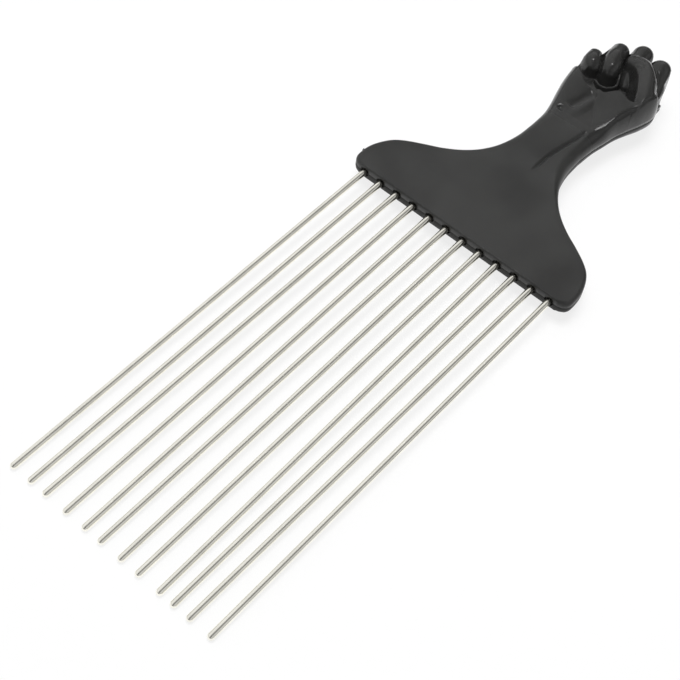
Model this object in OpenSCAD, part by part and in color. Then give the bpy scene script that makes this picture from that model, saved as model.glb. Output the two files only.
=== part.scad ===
// Afro pick: a row of steel wire tines clamped between the two moulded shells of a fist handle.
// The comb is drawn flat first: X runs along the row of tines, Y from the tines to the fist, and the shells
// meet at Z = 0. It is then tipped as it lies on a table, on the back of the fist and the tips of the tines.

/* [Tines] */
// Number of tines
tine_count = 12; // [6:1:16]
// Distance between neighbouring tines where they leave the handle
pitch = 4.8; // [4.2:0.1:6]
// Diameter of the tine wire
tine_d = 1.6; // [1.3:0.1:1.8]
// Length of a tine outside the handle, to the end of its rounded tip
tine_reach = 108; // [60:0.5:140]
// Length of a tine's tail inside the handle
tail_len = 10; // [8:0.5:10.5]
// Width of the flattened key on the tail
key_w = 2.4; // [2:0.1:2.8]
// Thickness of the flattened key
key_t = 1; // [0.7:0.05:1.1]
// Length of the flattened key
key_len = 3; // [2:0.25:4]
// Distance from the end of the tail to the key
key_back = 2; // [1:0.25:3]
// Room round a tine in the handle
tine_clear = 0.02; // [0.01:0.01:0.05]
// Radius of the shallow ring sunk round each tine where it leaves the handle
mouth_r = 1.25; // [1:0.05:1.4]
// Depth of that ring
mouth_depth = 0.5; // [0.3:0.1:0.8]

/* [Plate] */
// Distance from the outer tines' axes to the ends of the plate
plate_margin = 4.1; // [3.6:0.1:6]
// Thickness of the plate
plate_t = 3.8; // [3.6:0.1:5]
// Width of the rounded rim of the plate
plate_rim = 0.9; // [0.7:0.1:1.6]
// Width of the small rounding along the edge that the tines leave
mouth_rim = 0.4; // [0.2:0.05:0.6]
// Height of the upright band on each side of the joint between the shells
joint_band = 0.9; // [0.5:0.05:1]

/* [Neck] */
// Width of the neck where it is narrowest
neck_w = 14.4; // [13:0.2:18]
// Thickness of the neck
neck_t = 7; // [6.4:0.1:9]
// Width of the rounding along the sides of the neck
neck_rim = 2.6; // [1.6:0.1:3.6]

/* [Fist] */
// Length of the handle, from the edge that the tines leave to the middle knuckle
handle_len = 76; // [70:0.5:86]
// Width of the fist across the palm
fist_w = 23.6; // [21:0.2:27]
// Thickness of the fist
fist_t = 15.6; // [14:0.2:18]
// Width of the rounding along the sides of the fist
fist_rim = 4.4; // [3:0.1:6]
// How far from the outline the fingers reach their full height
limb_rim = 3; // [1:0.1:5]
// Steepness of the flanks of the fingers, as drop over run
flank_slope = 3; // [2:0.25:5]
// Steepness of the palm's wall over the hollow of the fist, as drop over run
wall_slope = 3.5; // [2:0.25:5]
// Height of the ball of the thumb above the palm
ball_rise = 1.3; // [0.4:0.1:1.6]
// Radius that softens the valleys between them
valley_blend = 0.25; // [0.1:0.05:0.5]
// Least height of the rounded top of the fist beyond its straight sides
crown_lift = 1.2; // [0.8:0.1:1.6]
// Depth of the flat that is worn into the back of the fist for it to lie on
rest_cut = 0.5; // [0.3:0.05:0.8]

/* [Inside the handle] */
// Diameter of the locating pegs
peg_d = 2.4; // [1.8:0.1:3]
// Height of the locating pegs
peg_h = 1.2; // [0.8:0.1:1.4]
// Room round a peg in its socket
peg_clear = 0.1; // [0.05:0.05:0.2]
// Depth of the hollow in the neck of each shell
neck_core = 1.9; // [1:0.1:2]
// Depth of the hollow in the back of the fist
fist_core = 4; // [3:0.25:4.5]
// Diameter of the hollow in the back of the fist
fist_core_d = 11; // [8:0.5:12]
// Width of the joint face left on each side of the hollow in the neck
core_land = 3; // [2.4:0.1:4]

/* [Hidden] */
row_w = (tine_count - 1) * pitch;
plate_w = row_w + 2 * plate_margin;
tine_r = tine_d / 2;
cut = 1;
slices = 32;

// Sideways drift of each tine's tip, as a share of the pitch: wire tines never stand quite parallel.
tip_drift_shares = [-.04, -.02, -.16, .02, .09, -.02, .1, .06, .21, -.03, -.17, -.05];

// Widths of the left and right sides of the neck, as shares of half its width.
neck_side_shares = [.95, 1.05];

// Outline of the plate and neck. Each row holds a place along the handle, and how far the left and right
// edges stand out from the neck towards the end of the plate.
plate_edge_shares = [[0, .9, .92], [.006, .95, .972], [.019, .985, 1.01], [.038, .995, 1.02],
    [.076, .985, 1.012], [.114, .94, .975], [.15, .865, .905], [.176, .765, .805], [.203, .62, .66],
    [.232, .455, .485], [.27, .295, .312], [.315, .165, .173], [.366, .073, .075], [.43, .017, .017],
    [.505, 0, 0]];
// Outline of the wrist and fist: a place along the handle, and how far the left and right edges stand out
// from the neck towards the widest part of the fist.
fist_edge_shares = [[.505, 0, 0], [.569, .02, .1], [.619, .16, .26], [.67, .38, .42], [.72, .57, .69],
    [.771, .68, 1], [.821, .76, 1.17], [.865, .73, 1]];

// The hand is a set of tapered limbs. Each row of a limb is a ball: its place across the fist as a share of
// half its width, along the handle as a share of its length, above the joint as a share of half the fist's
// thickness, and its radius as a share of half the fist's width.
finger_shares = [
    [[-.74, .88, .31, .2], [-.68, .857, .37, .2], [-.6, .846, .32, .19]],
    [[-.4, .948, .42, .21], [-.34, .9, .54, .21], [-.26, .866, .5, .21], [-.23, .855, .4, .2]],
    [[.02, .985, .46, .23], [.06, .925, .4, .2], [.12, .887, .22, .17], [.18, .868, .12, .155]],
    [[.53, .965, .48, .25], [.64, .905, .28, .25], [.74, .85, .1, .25]],
    [[.04, .922, .58, .19], [.25, .914, .7, .21], [.47, .886, .72, .22], [.66, .842, .72, .22],
        [.83, .79, .68, .21], [.92, .745, .5, .2]]
];
back_shares = [
    [[-.64, .885, .42, .26], [-.5, .78, .5, .26], [-.3, .66, .3, .24]],
    [[-.3, .925, .5, .25], [-.22, .79, .53, .3], [-.12, .66, .3, .26]],
    [[.12, .945, .46, .26], [.06, .79, .515, .32], [.02, .66, .26, .28]],
    [[.54, .925, .3, .26], [.36, .79, .34, .3], [.2, .66, .14, .26]]
];
// Knuckles along the top of the fist and the webs between them: place across, place along the handle, and
// radius, in the same shares.
knuckle_shares = [[-.72, .885, .2], [-.4, .948, .2], [-.2, .955, .12], [.02, .985, .23], [.28, .96, .14],
    [.53, .965, .24], [.66, .9, .24]];

// Level of the palm and of the back of the hand between the limbs, along the handle, as a share of half the
// fist's thickness.
palm_level_shares = [[.6, .5], [.66, .56], [.72, .64], [.78, .71], [1, .71]];
back_level_shares = [[.6, .33], [.68, .4], [.78, .55], [.9, .6], [1, .55]];

// Broad mounds of the palm: place across and along, half width and half length, turn in degrees, and height.
mound_shares = [[-.5, .74, .6, .11, 8, .07], [0, .69, .2, .12, -10, .04]];
// The ball of the thumb is cut from planes: a place across and along where each meets the palm, and its rise
// over run across and along.
ball_shares = [[.6, .6, -.1, .235], [.19, .626, .16, .11], [.12, .68, .9, .56]];
// The palm's edge over the hollow of the fist: place across, and place along the handle.
palm_edge_shares = [[-1.2, .79], [-.95, .8], [-.85, .798], [-.72, .786], [-.6, .773], [-.48, .76],
    [-.37, .749], [-.25, .742], [-.12, .745], [0, .75], [.09, .749], [.19, .764], [.29, .779], [.4, .782],
    [.52, .776], [.67, .772], [.8, .79], [.95, .85], [1.2, .88]];
// Level of the floor of that hollow, as a share of half the fist's thickness. Then the row of the skin that
// follows its edge, and how far from that row others bend with it, along the handle.
hollow_share = .1;
edge_row_share = .76;
bend_share = .1;
// Widths of the palm's rounded left and right sides, as shares of the rounding of the back, and where along
// the handle they start and end their change to it.
palm_rim_shares = [.5, .32];
rim_change_shares = [.55, .64];

// Places of the locating pegs: across as a share of half the plate's width, and along the handle.
peg_place_shares = [[-.52, .204], [.52, .204], [0, .34], [.01, .91]];
// Ends of the hollow in the neck, and the middle of the one in the fist, along the handle.
neck_core_shares = [.46, .6];
fist_core_shares = [-.07, .79];
// Place along the handle where the back of the fist lies on the table.
rest_share = .77;

// Numbers of columns and rows in the skin of a shell.
skin_columns = 36;
plate_rows = 14;
fist_rows = 40;
crown_rows = 12;

function clamp(v, low, high) = min(max(v, low), high);
function smooth(t) = let (s = clamp(t, 0, 1)) s * s * (3 - 2 * s);
function mix(a, b, t) = a + (b - a) * t;
function quarter(t) = sqrt(1 - pow(1 - clamp(t, 0, 1), 2));

// A smooth curve through the rows of a table whose first column is the place to look up.
function slope(table, i, k) = let (a = table[max(i - 1, 0)], b = table[min(i + 1, len(table) - 1)])
    (b[k] - a[k]) / (b[0] - a[0]);
function bend(t, a, b, ma, mb) = a * (2 * t * t * t - 3 * t * t + 1) + ma * (t * t * t - 2 * t * t + t)
    + b * (3 * t * t - 2 * t * t * t) + mb * (t * t * t - t * t);
function curve_in(table, x, k, i) = let (h = table[i + 1][0] - table[i][0])
    bend((x - table[i][0]) / h, table[i][k], table[i + 1][k],
        slope(table, i, k) * h, slope(table, i + 1, k) * h);
function curve(table, x, k = 1, i = 0) =
    x <= table[0][0] ? table[0][k] :
    i >= len(table) - 1 ? table[len(table) - 1][k] :
    x <= table[i + 1][0] ? curve_in(table, x, k, i) : curve(table, x, k, i + 1);

// Distance of the outline from the middle, at a place along the handle.
neck_share = fist_edge_shares[0][0];
function edge(y, k) = let (s = y / handle_len)
    s < neck_share ? mix(neck_w * neck_side_shares[k - 1], plate_w, curve(plate_edge_shares, s, k)) / 2
    : mix(neck_w * neck_side_shares[k - 1], fist_w, curve(fist_edge_shares, s, k)) / 2;

// Top of the fist: the highest of the knuckles there.
cap_y = fist_edge_shares[len(fist_edge_shares) - 1][0] * handle_len;
function knuckle_top(x, k) = let (d = abs(x - k[0] * fist_w / 2), r = k[2] * fist_w / 2)
    d < r ? k[1] * handle_len + sqrt(r * r - d * d) : cap_y;
handle_top = max([for (k = knuckle_shares) k[1] * handle_len + k[2] * fist_w / 2]);
function top(x) = max([cap_y + crown_lift, for (k = knuckle_shares) knuckle_top(x, k)]);

// Half thickness of the plain body of the handle, at a place along it.
plate_end = plate_edge_shares[10][0] * handle_len;
neck_start = plate_edge_shares[13][0] * handle_len;
neck_end = neck_share * handle_len;
function body_level(y, levels) = y < neck_end
    ? mix(plate_t, neck_t, smooth((y - plate_end) / (neck_start - plate_end))) / 2
    : mix(neck_t / 2, curve(levels, y / handle_len) * fist_t / 2,
        smooth((y / handle_len - neck_share) / (levels[0][0] - neck_share)));
function rim(y) = y < neck_end
    ? mix(plate_rim, neck_rim, smooth((y - plate_end) / (neck_start - plate_end)))
    : mix(neck_rim, fist_rim,
        smooth((y / handle_len - neck_share) / (palm_level_shares[1][0] - neck_share)));

// Height of a limb over a point: the limb's own round top, or its flank outside it.
function ball(s) = [s[0] * fist_w / 2, s[1] * handle_len, s[2] * fist_t / 2, s[3] * fist_w / 2];
function over(p, c) = let (d = norm([p[0] - c[0], p[1] - c[1]]))
    d < c[3] ? c[2] + sqrt(c[3] * c[3] - d * d) : c[2] - flank_slope * (d - c[3]);
function between(p, a, b) = let (run = [b[0] - a[0], b[1] - a[1]])
    over(p, mix(a, b, clamp(([p[0] - a[0], p[1] - a[1]] * run) / (run * run), 0, 1)));
function limbs(shares) = [for (limb = shares, i = [0:len(limb) - 2]) [ball(limb[i]), ball(limb[i + 1])]];
function limb_top(p, pairs) = valley_blend * ln(max(1e-9, sum([for (q = pairs)
    exp(clamp(between(p, q[0], q[1]), -fist_t, fist_t) / valley_blend)])));
function sum(v, i = 0) = i == len(v) ? 0 : v[i] + sum(v, i + 1);

// Grid of the skin: rows across the handle, then rows that follow the knuckles to the top of the fist.
wrist_share = .56;
wrist_y = wrist_share * handle_len;
palm_y = palm_level_shares[0][0] * handle_len;
near = handle_len / 300;
row_steps = [0, .08, .3, .65, 1];
rim_steps = [0, .06, .25, .6, 1];
rows = concat(mouth_rim * row_steps, [for (k = [1:plate_rows]) mix(mouth_rim, wrist_y, k / plate_rows)],
    [for (k = [1:fist_rows]) mix(wrist_y, cap_y, k / fist_rows)]);
function flare(y, k) = let (d = (edge(y + near, k) - edge(max(y - near, 0), k)) / (2 * near))
    sqrt(1 + d * d);
function columns(y) =
    let (l = -edge(y, 1), r = edge(y, 2), a = rim(y) * flare(y, 1), b = rim(y) * flare(y, 2))
    concat([for (s = rim_steps) l + a * s],
        [for (k = [1:skin_columns]) mix(l + a, r - b, k / (skin_columns + 1))],
        [for (k = [len(rim_steps) - 1:-1:0]) r - b * rim_steps[k]]);
grid = concat([for (y = rows) [for (x = columns(y)) [x, y]]],
    [for (k = [1:crown_rows]) [for (x = columns(cap_y)) [x, mix(cap_y, top(x), k / crown_rows)]]]);
width_n = len(grid[0]);
cap_row = len(rows) - 1;
last = len(grid) - 1;

// The rows of the palm, bent so that one of them follows the edge of the hollow.
function palm_edge(x) = curve(palm_edge_shares, x / (fist_w / 2)) * handle_len;
function bent(p) = let (nominal = edge_row_share * handle_len,
        side = min(p[0] + edge(p[1], 1), edge(p[1], 2) - p[0]),
        pull = smooth(1 - abs(p[1] - nominal) / (bend_share * handle_len)) * smooth(side / fist_rim))
    [p[0], p[1] + min(palm_edge(p[0]) - nominal, bend_share * handle_len / 3) * pull];

// Height of the palm over a place: its mounds, the ball of the thumb, and the wall down into the hollow.
function mound(p, m) = let (dx = p[0] - m[0] * fist_w / 2, dy = p[1] - m[1] * handle_len)
    m[5] * fist_t / 2 * (1 - smooth(norm([(dx * cos(m[4]) + dy * sin(m[4])) / (m[2] * fist_w / 2),
        (dy * cos(m[4]) - dx * sin(m[4])) / (m[3] * handle_len)])));
function thumb_ball(p) = max(0, min([ball_rise, for (q = ball_shares)
    (p[0] - q[0] * fist_w / 2) * q[2] + (p[1] - q[1] * handle_len) * q[3]]));
function palm_level(p) = body_level(p[1], palm_level_shares) + sum([for (m = mound_shares) mound(p, m)])
    + thumb_ball(p);
function palm_height(p) = let (floor = hollow_share * fist_t / 2)
    p[1] < palm_y ? palm_level(p)
    : min(palm_level(p), max(floor, floor + wall_slope * (palm_edge(p[0]) - p[1])));

// Height of a shell's skin over a point of the grid, measured from the joint.
function inside(p) = let (x = p[0], y = p[1])
    [(x + edge(y, 1)) / flare(y, 1), (edge(y, 2) - x) / flare(y, 2), top(x) - y];
function side_rise(p, palm) = let (d = inside(p), r = rim(p[1]),
        change = (p[1] / handle_len - rim_change_shares[0]) / (rim_change_shares[1] - rim_change_shares[0]),
        rims = [for (s = palm_rim_shares) palm ? r * mix(1, s, smooth(change)) : r])
    min(quarter(d[0] / rims[0]), quarter(d[1] / rims[1])) * quarter(d[2] / r);
function mouth_top(y) = y >= mouth_rim ? fist_t : plate_t / 2 - mouth_rim * (1 - quarter(y / mouth_rim));
function body_top(p, palm) = let (height = palm ? palm_height(p) : body_level(p[1], back_level_shares))
    min(joint_band + (height - joint_band) * side_rise(p, palm), mouth_top(p[1]));
function limb_cap(p) = joint_band + fist_t / 2 * quarter(min(inside(p)) / limb_rim);
function skin_top(p, palm, pairs) = p[1] < neck_start ? body_top(p, palm)
    : valley_blend * ln(exp(body_top(p, palm) / valley_blend)
        + exp(min(limb_top(p, pairs), limb_cap(p)) / valley_blend));

// A closed shell: its skin, the face that meets the other shell, and the walls between them.
module shell_body(palm, pairs) {
    places = [for (row = grid, p = row) palm ? bent(p) : p];
    skin = [for (p = places) [p[0], p[1], max(joint_band, skin_top(p, palm, pairs))]];
    joint = [for (p = places) [p[0], p[1], 0]];
    n = len(skin);
    w = width_n;
    skin_faces = [for (r = [0:last - 1], c = [0:w - 2], f = [[r * w + c, (r + 1) * w + c, r * w + c + 1],
        [r * w + c + 1, (r + 1) * w + c, (r + 1) * w + c + 1]]) f];
    strips = [for (r = [0:cap_row - 2])
        [n + r * w, n + r * w + w - 1, n + (r + 1) * w + w - 1, n + (r + 1) * w]];
    bridge = [concat([n + (cap_row - 1) * w, n + (cap_row - 1) * w + w - 1],
        [for (c = [w - 1:-1:0]) n + cap_row * w + c])];
    cap = [for (r = [cap_row:last - 1], c = [0:w - 2])
        [n + r * w + c, n + r * w + c + 1, n + (r + 1) * w + c + 1, n + (r + 1) * w + c]];
    left = [for (r = [0:last - 1]) [r * w, n + r * w, n + (r + 1) * w, (r + 1) * w]];
    right = [for (r = [0:last - 1])
        [r * w + w - 1, (r + 1) * w + w - 1, n + (r + 1) * w + w - 1, n + r * w + w - 1]];
    mouth = [concat([n, for (c = [0:w - 1]) c], [n + w - 1])];
    crown = [for (c = [0:w - 2]) [last * w + c, n + last * w + c, n + last * w + c + 1, last * w + c + 1]];
    polyhedron(concat(skin, joint), concat(skin_faces, strips, bridge, cap, left, right, mouth, crown));
}

// The comb as it lies: the flat on the back of the fist and the tips of the tines rest on the table, Z = 0.
rest_y = rest_share * handle_len;
rest_depth = fist_t / 2 - rest_cut;
rest_run = rest_y + tine_reach - tine_r;
tilt = atan(rest_depth / rest_run) - asin(tine_r / norm([rest_run, rest_depth]));
lift = tine_r + (tine_reach - tine_r) * sin(tilt);
module lying() translate([0, (tine_reach - handle_top) / 2, lift]) rotate([tilt, 0, 0]) children();

// A place on the row of tines, with Z along that tine from its mouth to its tip.
function tine_x(i) = (i - (tine_count - 1) / 2) * pitch;
function lean(i) = atan(tip_drift_shares[i % len(tip_drift_shares)] * pitch / tine_reach);
module along_tine(i) translate([tine_x(i), 0, 0]) rotate([0, 0, lean(i)]) rotate([90, 0, 0]) children();

// A wire with a flattened key in its tail, grown by the room round it to make the place that it lies in.
module wire(room) {
    wire_r = tine_r + room;
    key_z = key_back + key_len - tail_len;
    translate([0, 0, key_z]) cylinder(h = tine_reach - tine_r - key_z, r = wire_r, $fn = slices);
    translate([0, 0, -tail_len - room]) cylinder(h = key_back + room, r = wire_r, $fn = slices);
    translate([-key_w / 2 - room, -key_t / 2 - room, key_back - tail_len - room])
        cube([key_w + 2 * room, key_t + 2 * room, key_len + 2 * room]);
}
module tine(i) color("silver") lying() along_tine(i) {
    wire(0);
    translate([0, 0, tine_reach - tine_r]) sphere(r = tine_r, $fn = slices);
}

// Everything that both shells leave open round the tines.
module tine_places() for (i = [0:tine_count - 1]) along_tine(i) {
    wire(tine_clear);
    translate([0, 0, -mouth_depth]) cylinder(h = mouth_depth + cut, r = mouth_r, $fn = slices);
}
module neck_hollow() {
    hollow_w = neck_w - 2 * core_land;
    hollow_x = neck_w * (neck_side_shares[1] - neck_side_shares[0]) / 4;
    for (s = neck_core_shares)
        translate([hollow_x, s * handle_len, -neck_core])
            cylinder(h = 2 * neck_core, d = hollow_w, $fn = slices);
    translate([hollow_x - hollow_w / 2, neck_core_shares[0] * handle_len, -neck_core])
        cube([hollow_w, (neck_core_shares[1] - neck_core_shares[0]) * handle_len, 2 * neck_core]);
}
module pegs(room) for (p = peg_place_shares)
    translate([p[0] * plate_w / 2, p[1] * handle_len, -peg_h])
        cylinder(h = 2 * peg_h + room, d = peg_d + 2 * room, $fn = slices);

module front_shell() color("dimgray") lying() difference() {
    shell_body(true, limbs(finger_shares));
    tine_places();
    neck_hollow();
    pegs(peg_clear);
}
module back_shell() color("dimgray") difference() {
    lying() {
        difference() {
            mirror([0, 0, 1]) shell_body(false, limbs(back_shares));
            tine_places();
            neck_hollow();
            translate([fist_core_shares[0] * fist_w / 2, fist_core_shares[1] * handle_len, -fist_core])
                cylinder(h = fist_core + cut, d = fist_core_d, $fn = slices);
        }
        pegs(0);
    }
    translate([-plate_w, -handle_len, -fist_t]) cube([2 * plate_w, 3 * handle_len, fist_t]);
}

front_shell();
back_shell();
for (i = [0:tine_count - 1])
    tine(i);
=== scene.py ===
"""Looks of a wire-tined afro pick that lies on a table: two moulded shells in the shape of a raised fist,
and twelve plated steel tines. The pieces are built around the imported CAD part, in its frame, in metres."""

import math

import bmesh
import bpy
import numpy as np
from bpy.props import FloatProperty, FloatVectorProperty, IntProperty, PointerProperty
from mathutils import Matrix, Vector


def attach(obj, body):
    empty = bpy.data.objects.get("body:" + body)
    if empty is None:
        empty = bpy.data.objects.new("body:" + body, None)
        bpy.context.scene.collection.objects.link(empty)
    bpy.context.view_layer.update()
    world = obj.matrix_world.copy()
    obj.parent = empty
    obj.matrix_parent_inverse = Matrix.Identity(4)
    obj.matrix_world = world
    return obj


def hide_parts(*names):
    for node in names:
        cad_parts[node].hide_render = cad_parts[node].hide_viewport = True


bl_info = {
    "name": "Afro pick looks",
    "version": (1, 0, 0),
    "blender": (4, 5, 0),
    "location": "View3D > Sidebar > Afro pick",
    "description": "Moulded fist handle and plated wire tines around a packed part",
    "category": "Object",
}

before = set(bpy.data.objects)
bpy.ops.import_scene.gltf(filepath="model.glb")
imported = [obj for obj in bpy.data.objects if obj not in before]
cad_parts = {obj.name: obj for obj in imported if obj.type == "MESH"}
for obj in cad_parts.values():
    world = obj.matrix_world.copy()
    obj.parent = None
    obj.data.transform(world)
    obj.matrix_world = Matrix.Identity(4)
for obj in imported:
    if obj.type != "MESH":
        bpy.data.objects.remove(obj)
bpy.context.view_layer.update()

MM = 0.001
TINE_NAMES = sorted(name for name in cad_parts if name.startswith("tine_"))

# Outline of the plate and neck: place along the handle, and how far the left and right edges stand out.
PLATE_EDGE_SHARES = [
    (0, 0.9, 0.92), (0.006, 0.95, 0.972), (0.019, 0.985, 1.01), (0.038, 0.995, 1.02),
    (0.076, 0.985, 1.012), (0.114, 0.94, 0.975), (0.15, 0.865, 0.905), (0.176, 0.765, 0.805),
    (0.203, 0.62, 0.66),
    (0.232, 0.455, 0.485), (0.27, 0.295, 0.312), (0.315, 0.165, 0.173), (0.366, 0.073, 0.075),
    (0.43, 0.017, 0.017), (0.505, 0, 0),
]
# The rows of that table where the plate ends and where the neck has its full thickness.
PLATE_END_ROW = 10
NECK_START_ROW = 13
# Outline of the fist, in the same form.
FIST_EDGE_SHARES = [
    (0.505, 0, 0), (0.569, 0.02, 0.1), (0.619, 0.16, 0.26), (0.67, 0.38, 0.42), (0.72, 0.57, 0.69),
    (0.771, 0.68, 1), (0.821, 0.76, 1.17), (0.865, 0.73, 1),
]
# The neck's left and right sides, as shares of half its width.
NECK_SIDE_SHARES = (0.95, 1.05)

# Limbs of the palm's side: the little, ring, middle and index fingers, the thumb, and the thin raised line
# round the ring fingertip. Each ball of a limb holds its place across, along and above the joint, and its
# radius, as shares of half the fist's width, the handle's length, half the fist's thickness and half the
# fist's width.
FINGER_SHARES = [
    [(-0.74, 0.88, 0.31, 0.2), (-0.68, 0.857, 0.37, 0.2), (-0.6, 0.846, 0.32, 0.19)],
    [(-0.4, 0.948, 0.42, 0.21), (-0.34, 0.9, 0.54, 0.21), (-0.26, 0.866, 0.5, 0.21),
     (-0.23, 0.855, 0.4, 0.2)],
    [(0.02, 0.985, 0.46, 0.23), (0.06, 0.925, 0.4, 0.2), (0.12, 0.887, 0.22, 0.17),
     (0.18, 0.868, 0.12, 0.155)],
    [(0.53, 0.965, 0.48, 0.25), (0.57, 0.945, 0.42, 0.25), (0.62, 0.92, 0.3, 0.25),
     (0.74, 0.85, 0.1, 0.25)],
    [(0.04, 0.922, 0.58, 0.19), (0.25, 0.914, 0.7, 0.21), (0.47, 0.886, 0.72, 0.22),
     (0.66, 0.842, 0.72, 0.22), (0.83, 0.79, 0.68, 0.21), (0.92, 0.745, 0.5, 0.2)],
    [(-0.36, 0.812, 0.2, 0.03), (-0.22, 0.8, 0.22, 0.03), (-0.06, 0.808, 0.22, 0.03),
     (0.05, 0.832, 0.26, 0.03), (0, 0.856, 0.4, 0.03), (-0.12, 0.895, 0.52, 0.03)],
]
# Cords of the back of the hand, in the same form.
BACK_SHARES = [
    [(-0.64, 0.885, 0.42, 0.26), (-0.5, 0.78, 0.5, 0.26), (-0.3, 0.66, 0.3, 0.24)],
    [(-0.3, 0.925, 0.5, 0.25), (-0.22, 0.79, 0.53, 0.3), (-0.12, 0.66, 0.3, 0.26)],
    [(0.12, 0.945, 0.46, 0.26), (0.06, 0.79, 0.515, 0.32), (0.02, 0.66, 0.26, 0.28)],
    [(0.54, 0.925, 0.3, 0.26), (0.36, 0.79, 0.34, 0.3), (0.2, 0.66, 0.14, 0.26)],
]
# Steps from one ball of a limb to the next.
LIMB_STEPS = 36
# Rounded ends of the knuckles in the outline: place across and along, and radius.
KNUCKLE_SHARES = [
    (-0.72, 0.885, 0.2), (-0.4, 0.948, 0.2), (-0.2, 0.955, 0.12), (0.02, 0.985, 0.23), (0.28, 0.96, 0.14),
    (0.53, 0.965, 0.24), (0.66, 0.9, 0.24),
]
# Height of the palm and of the back of the hand: place along, and share of half the fist's thickness.
PALM_LEVEL_SHARES = [(0.6, 0.5), (0.66, 0.56), (0.72, 0.64), (0.78, 0.71), (1, 0.71)]
BACK_LEVEL_SHARES = [(0.6, 0.33), (0.68, 0.4), (0.78, 0.55), (0.9, 0.6), (1, 0.55)]
# Broad mounds of the palm: place across and along, half width, half length, turn in degrees, and height.
MOUND_SHARES = [
    (-0.5, 0.74, 0.6, 0.11, 8, 0.07),
    (0, 0.69, 0.2, 0.12, -10, 0.04),
]
# The ball of the thumb is cut from three planes. Each has a place where it meets the palm, and its rise
# over run across and along.
THUMB_BALL_PLANES = [
    ((0.6, 0.6), (-0.1, 0.235)), ((0.19, 0.626), (0.16, 0.11)), ((0.12, 0.68), (0.9, 0.56)),
]
# The palm's edge above the hollow of the fist: place across, and place along.
PALM_EDGE_SHARES = [
    (-1.2, 0.79), (-0.95, 0.8), (-0.85, 0.798), (-0.72, 0.786), (-0.6, 0.773), (-0.48, 0.76),
    (-0.37, 0.749), (-0.25, 0.742), (-0.12, 0.745), (0, 0.75), (0.09, 0.749), (0.19, 0.764),
    (0.29, 0.779), (0.4, 0.782), (0.52, 0.776), (0.67, 0.772), (0.8, 0.79), (0.95, 0.85), (1.2, 0.88),
]
# Height of the floor of that hollow, as a share of half the fist's thickness.
HOLLOW_SHARE = 0.1
# Where the rims of the palm start and end their change to their width on the fist, and the shares of that
# width that they keep there, on the left and on the right. Those of the back of the hand keep all of it.
RIM_CHANGE_SHARES = (0.55, 0.64)
PALM_RIM_SHARES = (0.5, 0.32)
BACK_RIM_SHARES = (1, 1)
# Creases and ridges of the palm: height (below zero for a crease) and half width in millimetres, and the
# points of its line across and along, as shares.
PALM_LINES = [
    (-0.15, 1.8, [(0.16, 0.3), (0.24, 0.45), (0.36, 0.57)]),
    (-0.55, 0.36, [(0.17, 0.34), (0.22, 0.435), (0.32, 0.52), (0.42, 0.585)]),
    (-0.35, 1.1, [(-0.25, 0.625), (-0.18, 0.655), (-0.08, 0.695), (-0.02, 0.72)]),
    (-0.3, 0.6, [(0.7, 0.668), (0.76, 0.7), (0.9, 0.75)]),
]
# Lines on the fingers, in the same form: three creases of the thumb, the edge of a nail, and the raised
# line along the thumb's outer side.
FINGER_LINES = [
    (-0.22, 0.22, [(0.02, 0.908), (0.14, 0.918), (0.32, 0.914)]),
    (-0.22, 0.22, [(0.08, 0.893), (0.22, 0.899), (0.38, 0.89)]),
    (-0.18, 0.2, [(0.14, 0.88), (0.26, 0.885), (0.38, 0.876)]),
    (0.14, 0.25, [(-0.1, 0.925), (0.02, 0.935), (0.14, 0.924)]),
    (0.25, 0.22, [(0.5, 0.94), (0.62, 0.912), (0.7, 0.893), (0.76, 0.872), (0.88, 0.855), (1, 0.838)]),
]
# A line fades towards its ends. It is whole where the share of it before a place, times the share after
# it, is above LINE_TAPER / LINE_RISE.
LINE_RISE = 2.5
LINE_TAPER = 0.3
# Place of the dimple on the heel of the palm.
DIMPLE_SHARE = (-0.36, 0.605)
# How far each tip has drifted sideways, in pitches.
TIP_DRIFT_SHARES = (-0.04, -0.02, -0.16, 0.02, 0.09, -0.02, 0.1, 0.06, 0.21, -0.03, -0.17, -0.05)
# The slope of the outline is taken over the handle's length divided by this.
FLARE_STEPS = 300
# An edge between two heights is left as it is where they are this many times its softening apart.
SOFT_REACH = 40
# Place along the handle of the flat that it lies on.
REST_SHARE = 0.77

# The photograph's camera, in the flat comb's own frame, in pitches and degrees.
VIEW_AZIMUTH = 33.068
VIEW_ELEVATION = 54.737
VIEW_ROLL = 9
VIEW_SHIFT = (-5.345, -4.909)
VIEW_DISTANCE = 70.59
VIEW_FOCAL_PIXELS = 1510.8
PHOTO_PIXELS = 680
SENSOR_MM = 36
CLIP_START = 0.01

# Half the table's size, in metres.
TABLE_HALF = 1.5

# Brightness of the gap in the room's ceiling, of the ceiling beyond it and of the walls, as shares of the
# ceiling's. Then where the gap starts and ends, and where the walls become the ceiling, in directions of
# length 1.
GAP_SHADE = 0.25
FAR_CEILING_SHADE = 0.7
WALL_SHADE = 0.12
GAP_START = (-0.4, 0.15)
GAP_END = (0.38, 0.6)
WALL_HEIGHT = (0.1, 0.5)
# The walls are lighter where the wires mirror them: how much, and how far along the room that changes.
FRONT_WALL_SHADE = 0.6
WALL_TURN = (0.3, 0.62)
# The dark lens that the domed tips mirror: its direction, and how far its shade reaches round it.
LENS_TOWARDS = (0.34, -0.32, 0.885)
LENS_REACH = (0.004, 0.03)
LENS_SHADE = 0.05
# How much of the table's white is its own, as the camera sees it and in reflections.
SEEN_SHARE = 0.79
MIRRORED_SHARE = 0.85
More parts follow.
